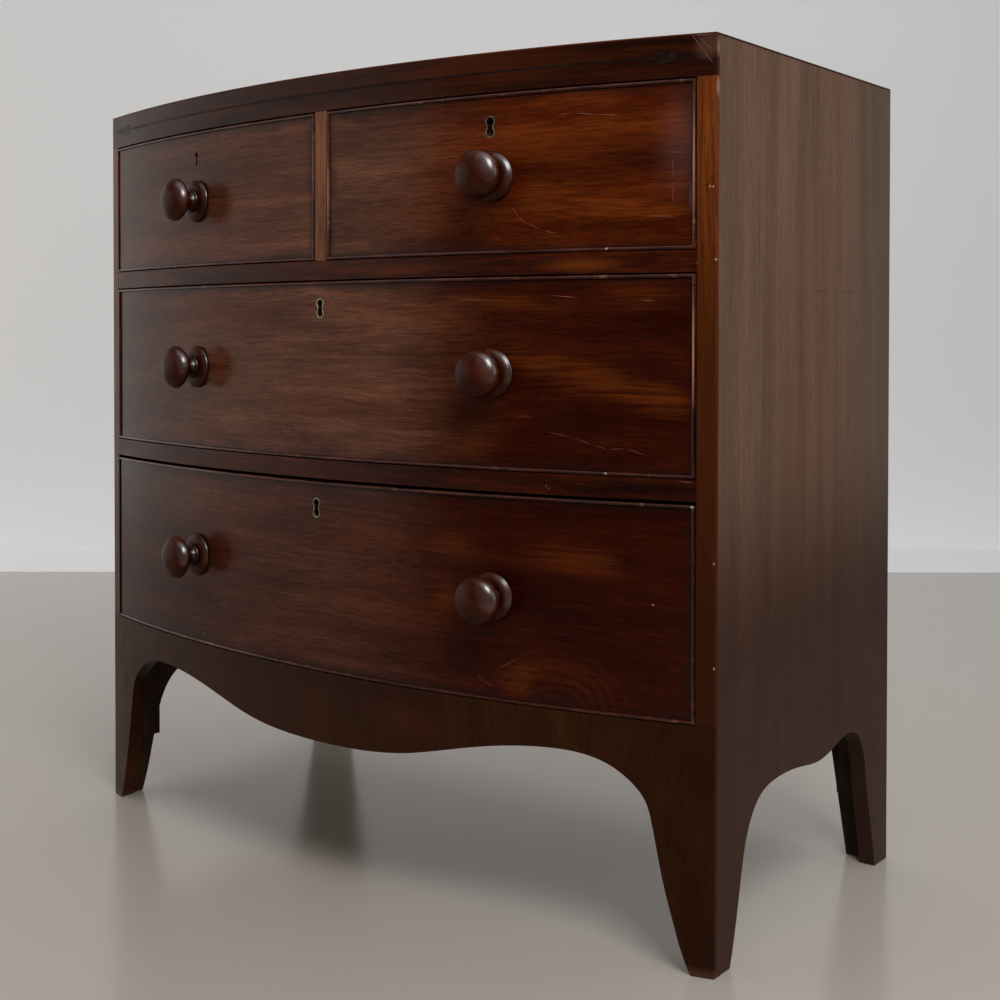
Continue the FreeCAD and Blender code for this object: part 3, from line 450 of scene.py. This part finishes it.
SCRATCHES = {
    "upper_right": [
        ([(415, 789.5), (415.6, 765), (415, 740)], 0.35),
        ([(318, 835), (340, 832), (363, 830)], 0.55), ([(300, 834.5), (312, 835)], 0.3),
        ([(407, 792), (431, 790.7)], 0.4), ([(382, 731.5), (421, 730)], 0.5),
        ([(249, 746), (256, 735), (265, 728.5), (282, 721), (301, 716)], 0.4)],
    "middle": [
        ([(286, 520), (317, 514.2), (336, 508), (352, 504), (370, 505.7), (392, 499)], 0.32),
        ([(288, 656), (325, 652.6)], 0.5), ([(383, 650), (399, 649.3)], 0.6),
        ([(180, 653), (240, 651)], 0.25)],
    "lower": [
        ([(207.8, 266), (218, 261), (229, 256.3)], 0.3), ([(229, 273), (262, 292)], 0.25)],
}
for name, scratches in SCRATCHES.items():
    for points, share in scratches:
        fronts[name].scratch(points, PALE, share)
# Painted sheen: a greyish veil over the right end of the upper right front.
fronts["upper_right"].mark((424, 800), (34, 74), PAINTED_SHEEN, 0.38, soft=1.0)
fronts["upper_right"].mark((433, 748), (3.5, 18), PAINTED_SHEEN, 0.6)
fronts["middle"].mark((-155.7, 622.5), (2.6, 4), "120503", 0.8)
fronts["middle"].mark((-106.7, 608.6), (2.4, 2), "120503", 0.7)
fronts["middle"].mark((262, 534), (14, 2.5), "7c3420", 0.4)
for at in ((397.4, 354.9), (-215.3, 254.3)):
    fronts["lower"].mark(at, (1.3, 1.3), "d8c4b0", 0.8)
for name in FRONTS:
    fronts[name].dress(name + "_front")


# Cockbeads: 3 mm mahogany strips with a round nose, mitred and glued into a rebate round
# each front. A thin line of light runs along the nose; beside the divider and down the right
# it is painted in, as highlight with wear. They are worn to bare wood in places, and painted
# darker low on the right, as shade.
bead = Wood("mahogany bead, French polished", "x", "26100a", "40190f", "5c2c1c", board=8.3,
            across=0.3, bands=(60, 20), rings=(30, 8), roughness=0.24, gloss=0.3)
worn = add(bead.tree, "MapRange", {"Value": bead.layer(bead.place, (16, 16), 4),
                                   "From Min": 0.60, "From Max": 0.72, "To Max": 0.55})
bead.lay(worn, "8e5c46")
# Painted highlight with wear along the beads beside the divider and down the right.
bead.mark((11, 770), (3, 52), "b48a58", 0.6)
bead.mark((436, 600), (1.5, 74), "d08a66", 0.85)
bead.mark((436, 780), (1.5, 84), "c08470", 0.8)
# Painted shade over the beads low on the right.
bead.mark((250, 350), (330, 125), "200e09", 0.65, soft=0.3)
bead.mark((436, 517), (3, 38), "140806", 0.9, soft=0.3)
# Painted highlight with wear on the bead beside the divider.
bead.mark((-12, 800), (3, 50), "9a6658", 0.5)
for at in ((434, 556.5), (351, 480.5), (351.6, 700.5)):
    bead.mark(at, (2.2, 1.8), "cdb49a", 0.8)
bead.mark((435.4, 451.5), (2.2, 1.6), "e8ddd0", 0.9)
bead.dress("upper_left_cockbead", "upper_right_cockbead", "middle_cockbead",
           "lower_cockbead", soften=0)


# Knobs: turned from solid mahogany, each in one piece with its peg, and polished in the
# lathe. Their coat is strong only where they face the window's highlight, a painted highlight
# that shines in small dents there, and painted shade with old wax blackens the neck and the
# ring of the rose.
CREVICE = 14 * MM
HIGHLIGHT_FACING = (0.74, -0.60, 0.29)
DENTS = (5, 5)
DENT_DEPTH = 0.16
knob = Wood("mahogany, turned and polished", "y", "1d0703", "381306", "532009", board=10.9,
            bands=(34, 18), rings=(26, 3), spread=0.2, roughness=0.35, gloss=0.04)
# Painted shade with old wax: darkest where the knob is most closed in.
crevice = add(knob.tree, "AmbientOcclusion", {"Distance": CREVICE}, output="AO", samples=8)
knob.lay(add(knob.tree, "MapRange", {"Value": crevice, "From Min": 0.95, "From Max": 0.5,
                                     "To Max": 0.9}), "0a0302")
# Painted highlight: the coat is strong only where the knob faces the window's highlight, and
# weaker in the crevices.
facing = add(knob.tree, "NewGeometry", output="Normal")
facing = add(knob.tree, "VectorMath", {0: facing, 1: HIGHLIGHT_FACING}, output="Value",
             operation="DOT_PRODUCT")
highlight_gloss = add(knob.tree, "MapRange", {"Value": facing, "From Min": 0.80, "From Max": 0.96,
                                    "To Min": 0.07, "To Max": 1.0})
clean = add(knob.tree, "MapRange", {"Value": crevice, "From Min": 0.45, "From Max": 0.95,
                                    "To Min": 0.2})
knob.tree.links.new(add(knob.tree, "Math", {0: highlight_gloss, 1: clean}, operation="MULTIPLY"),
                    knob.shader.inputs["Coat Weight"])
knob.shader.inputs["Coat Roughness"].default_value = 0.29
knob.shader.inputs["Coat IOR"].default_value = 1.9
dents = add(knob.tree, "Bump", {"Height": knob.layer(knob.place, DENTS, 3),
                                "Distance": DENT_DEPTH * MM, "Strength": 0.6,
                                "Normal": knob.relief})
for name in ("Normal", "Coat Normal"):
    knob.tree.links.new(dents, knob.shader.inputs[name])
knob.dress("upper_left_knob", "upper_right_knob", "middle_knobs", "lower_knobs", soften=0)


# Drawer linings: thin cedar boards, planed and left bare, dovetailed at the corners and
# rubbed smooth along their edges. Bare wood looks matt and even, paler than the fronts.
lining = Wood("cedar lining, planed", "y", "5a3826", "775036", "8c6345", board=12.7,
              bands=(300, 24), rings=(200, 3), roughness=0.55, gloss=0.3)
back_lining = Wood("cedar back board, planed", "x", "5a3826", "775036", "8c6345",
                   board=3.7, bands=(300, 24), rings=(200, 3), roughness=0.55, gloss=0.3)
for name in FRONTS:
    lining.dress(name + "_sides", name + "_bottom")
    back_lining.dress(name + "_back")


# Locks, their bolts and the keyhole linings, which are driven into the keyholes. They are
# cast brass gone dull: the linings look greenish grey and the cases brown, with a soft and
# cloudy shine. The bolts are filed iron, grey and a little brighter.
brass = Wood("brass, cast and tarnished", "x", "4e4a3c", "7a745e", "a39a80", board=1.9,
             bands=(9, 9), rings=(5, 5), streaks=(3, 3), roughness=0.42, gloss=0.5,
             pore=0.2)
brass.shader.inputs["Metallic"].default_value = 1.0
brass.dress("upper_right_escutcheon", "middle_escutcheon", "lower_escutcheon", soften=0)
case = Wood("brass lock case, tarnished", "x", "4a3818", "7a6030", "9a7d42", board=5.1,
            bands=(20, 20), rings=(9, 9), roughness=0.40, gloss=0.5, pore=0.2)
case.shader.inputs["Metallic"].default_value = 1.0
case.dress("upper_left_lock", "upper_right_lock", "middle_lock", "lower_lock", soften=0)
iron = Wood("iron bolt, filed", "x", "3a3a3a", "5b5b5b", "777777", board=1.4,
            bands=(12, 12), rings=(6, 2), roughness=0.4, gloss=0.5, pore=0.2)
iron.shader.inputs["Metallic"].default_value = 1.0
iron.dress("upper_left_bolt", "upper_right_bolt", "middle_bolt", "lower_bolt", soften=0)

# Lock screws: four slotted brass screws hold each lock from inside the drawer. The domed
# head is turned and slotted once. Each copy has its place along the lock and below its top
# edge, and the angle at which its slot stopped.
SCREW_HEAD = 2.6 * MM
SCREW_RISE = 0.5 * MM
SCREW_SIDES = 20
DOME = 0.35 * SCREW_RISE
SLOT = 0.7 * MM
BOW_CENTRE_Y = 1331.2 * MM
LOCK_FACE = BOW_CENTRE_Y + 201.8 * MM
SCREW_PLACES = ((-22.5, 6, 12), (-22.5, 40.5, 74), (22.5, 6, 131), (22.5, 40.5, 38))
bpy.ops.mesh.primitive_cylinder_add(vertices=SCREW_SIDES, radius=SCREW_HEAD,
                                    depth=2 * SCREW_RISE,
                                    rotation=(math.pi / 2, 0, 0))
pattern = bpy.context.object
bpy.ops.object.transform_apply()
domed = pattern.modifiers.new("domed", "BEVEL")
domed.width, domed.segments = DOME, 2
bpy.ops.object.modifier_apply(modifier="domed")
bpy.ops.mesh.primitive_cube_add(size=1, location=(0, SCREW_RISE, 0),
                                scale=(3 * SCREW_HEAD, SCREW_RISE, SLOT))
cutter = bpy.context.object
slot = pattern.modifiers.new("slot", "BOOLEAN")
slot.object, slot.operation = cutter, "DIFFERENCE"
bpy.context.view_layer.objects.active = pattern
bpy.ops.object.modifier_apply(modifier="slot")
bpy.data.objects.remove(cutter)
for name in FRONTS:
    low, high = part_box(name + "_lock")
    heads = []
    for along, drop, angle in SCREW_PLACES:
        heads.append(pattern.copy())
        heads[-1].data = pattern.data.copy()
        heads[-1].location = (along * MM, 0, high[2] - drop * MM)
        heads[-1].rotation_euler = (0, math.radians(angle), 0)
        bpy.context.scene.collection.objects.link(heads[-1])
    bpy.ops.object.select_all(action="DESELECT")
    for head in heads:
        head.select_set(True)
    bpy.context.view_layer.objects.active = heads[0]
    bpy.ops.object.join()
    screws = bpy.context.object
    screws.name = name + "_lock_screws"
    bpy.ops.object.transform_apply()
    screws.location = (0, -LOCK_FACE + SCREW_RISE / 2, 0)
    bpy.ops.object.transform_apply()
    screws.rotation_euler = (0, 0, math.asin((low[0] + high[0]) / 2 / LOCK_FACE))
    bpy.ops.object.transform_apply()
    screws.location = (0, BOW_CENTRE_Y, 0)
    bpy.ops.object.transform_apply()
    bpy.ops.object.shade_smooth_by_angle()
    screws.data.materials.append(case.material)
    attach(screws, "drawer_" + name)
bpy.data.objects.remove(pattern)
bpy.ops.object.select_all(action="DESELECT")


# Inner carcass: sawn pine boards, bearers and blocks, never polished. Sawn wood looks matt
# and rough, and age and dust have browned it, the blocks and brackets most, which were
# stained dark.
pine = Wood("pine, sawn and aged", "x", "5c4026", "7c5c38", "94724a", board=11.3,
            bands=(300, 30), rings=(200, 5), roughness=0.6, gloss=0.3, pore=0.1)
pine.dress("top_board", "top_rail", "bottom_board", "drawer_stops")
stained = Wood("pine block, sawn and stained dark", "z", "1c110b", "2c1b11", "3c2618",
               board=17.3, bands=(200, 30), rings=(150, 5), roughness=0.7, gloss=0.2)
stained.dress("glue_blocks", "foot_rear_left", "foot_rear_right")
boards = Wood("pine backboards, sawn and aged", "x", "54391f", "755433", "8a6840",
              board=14.9, bands=(400, 30), rings=(300, 5), roughness=0.65, gloss=0.3,
              pore=0.1)
# Three lie across the back, each from another plank, with dust in the seams between them.
SEAM = (2000, 1.6)
low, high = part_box("backboards")
for share, code in ((1 / 3, "3c2410"), (2 / 3, "9a7c54")):
    seam = (low[2] + share * (high[2] - low[2])) / MM
    boards.fade("Z", seam - 0.1, seam + 0.1, code, 0.3)
    boards.mark((0, seam), SEAM, "120a05", 0.85, soft=0.5)
boards.dress("backboards")
bearer = Wood("pine bearer, sawn", "y", "5c4026", "7c5c38", "94724a", board=13.1,
              bands=(300, 30), rings=(200, 5), roughness=0.6, gloss=0.3, pore=0.1)
bearer.dress("runners_upper", "runners_lower", "kickers")


# Floor and wall: plain painted surfaces. The floor has a satin sheen, in which the feet
# are mirrored softly, and ends square to the line of sight. The wall is matt and white, and
# a strip of the same runs along its foot.
def plain(name, code, roughness):
    """Paint of one colour, in a smooth coat."""
    material = bpy.data.materials.new(name)
    material.use_nodes = True
    shader = material.node_tree.nodes["Principled BSDF"]
    shader.inputs["Base Color"].default_value = linear(code)
    shader.inputs["Roughness"].default_value = roughness
    return material


VIEW_TURN = math.radians(37.87)
FLOOR_SIZE = 12
FLOOR_END = 1.95
STRIP = 0.4
WALL_WIDTH = 14
WALL_HEIGHT = 4
bpy.ops.mesh.primitive_plane_add(size=FLOOR_SIZE, location=(0, FLOOR_END - FLOOR_SIZE / 2, 0))
floor = bpy.context.object
floor.name = "floor"
floor.data.materials.append(plain("floor, satin", "b0a89f", 0.2))

bpy.ops.mesh.primitive_plane_add(size=1, location=(0, FLOOR_END + STRIP / 2, 0))
wall = bpy.context.object
wall.name = "wall"
wall.scale = (WALL_WIDTH, STRIP, 1)
wall.data.polygons[0].select = False
for part in (*wall.data.vertices, *wall.data.edges):
    corners = part.vertices if hasattr(part, "vertices") else [part.index]
    part.select = all(wall.data.vertices[corner].co.y > 0 for corner in corners)
bpy.ops.object.mode_set(mode="EDIT")
bpy.ops.mesh.select_mode(type="EDGE")
bpy.ops.mesh.extrude_region_move(TRANSFORM_OT_translate={"value": (0, 0, WALL_HEIGHT)})
bpy.ops.object.mode_set(mode="OBJECT")
wall.data.materials.append(plain("wall, matt", "f4f5f6", 0.9))
for surface in (floor, wall):
    bpy.ops.object.select_all(action="DESELECT")
    surface.select_set(True)
    bpy.context.view_layer.objects.active = surface
    bpy.ops.object.transform_apply()
    surface.rotation_euler = (0, 0, VIEW_TURN)
    bpy.ops.object.transform_apply()


# Light: a pale room. Most comes from above, a window on the right makes the highlights on
# the knobs, a warm wall on the left lies in the polish of the bow's left half, and a fainter
# one on the right lights the side board.
world = bpy.data.worlds.new("studio")
bpy.context.scene.world = world
world.use_nodes = True
world.node_tree.nodes["Background"].inputs["Color"].default_value = linear("ffffff")
world.node_tree.nodes["Background"].inputs["Strength"].default_value = 0.12


AIM_HEIGHT = 0.5


def lamp(name, azimuth, elevation, distance, size, power, code="ffffff"):
    """A soft square lamp round the chest, aimed at its middle."""
    turn, rise = math.radians(azimuth), math.radians(elevation)
    data = bpy.data.lights.new(name, "AREA")
    data.shape = "RECTANGLE"
    data.size, data.size_y = size
    data.energy = power
    data.color = linear(code)[:3]
    made = bpy.data.objects.new(name, data)
    out = (math.sin(turn) * math.cos(rise), -math.cos(turn) * math.cos(rise), math.sin(rise))
    made.location = [distance * part for part in out]
    made.location.z += AIM_HEIGHT
    made.rotation_euler = (math.pi / 2 - rise, 0, turn)
    bpy.context.scene.collection.objects.link(made)


lamp("ceiling light", 0, 90, 2.6, (4.2, 4.2), 47)
lamp("window", 57, 41, 2.6, (0.95, 0.95), 36)
lamp("left wall light", -61, 8, 3.2, (4.3, 2.3), 34, "fff6ee")
lamp("right wall light", 108, 15, 3.0, (2.6, 1.6), 16)

camera = bpy.data.cameras.new("camera")
camera.lens = 52.0
camera.sensor_width = 36.0
camera.shift_y = -0.141
view = bpy.data.objects.new("camera", camera)
view.location = (1.136, -1.3637, 0.618)
view.rotation_euler = (math.radians(88.97), math.radians(-0.05), VIEW_TURN)
bpy.context.scene.collection.objects.link(view)
bpy.context.scene.camera = view
bpy.context.scene.view_settings.view_transform = "Standard"
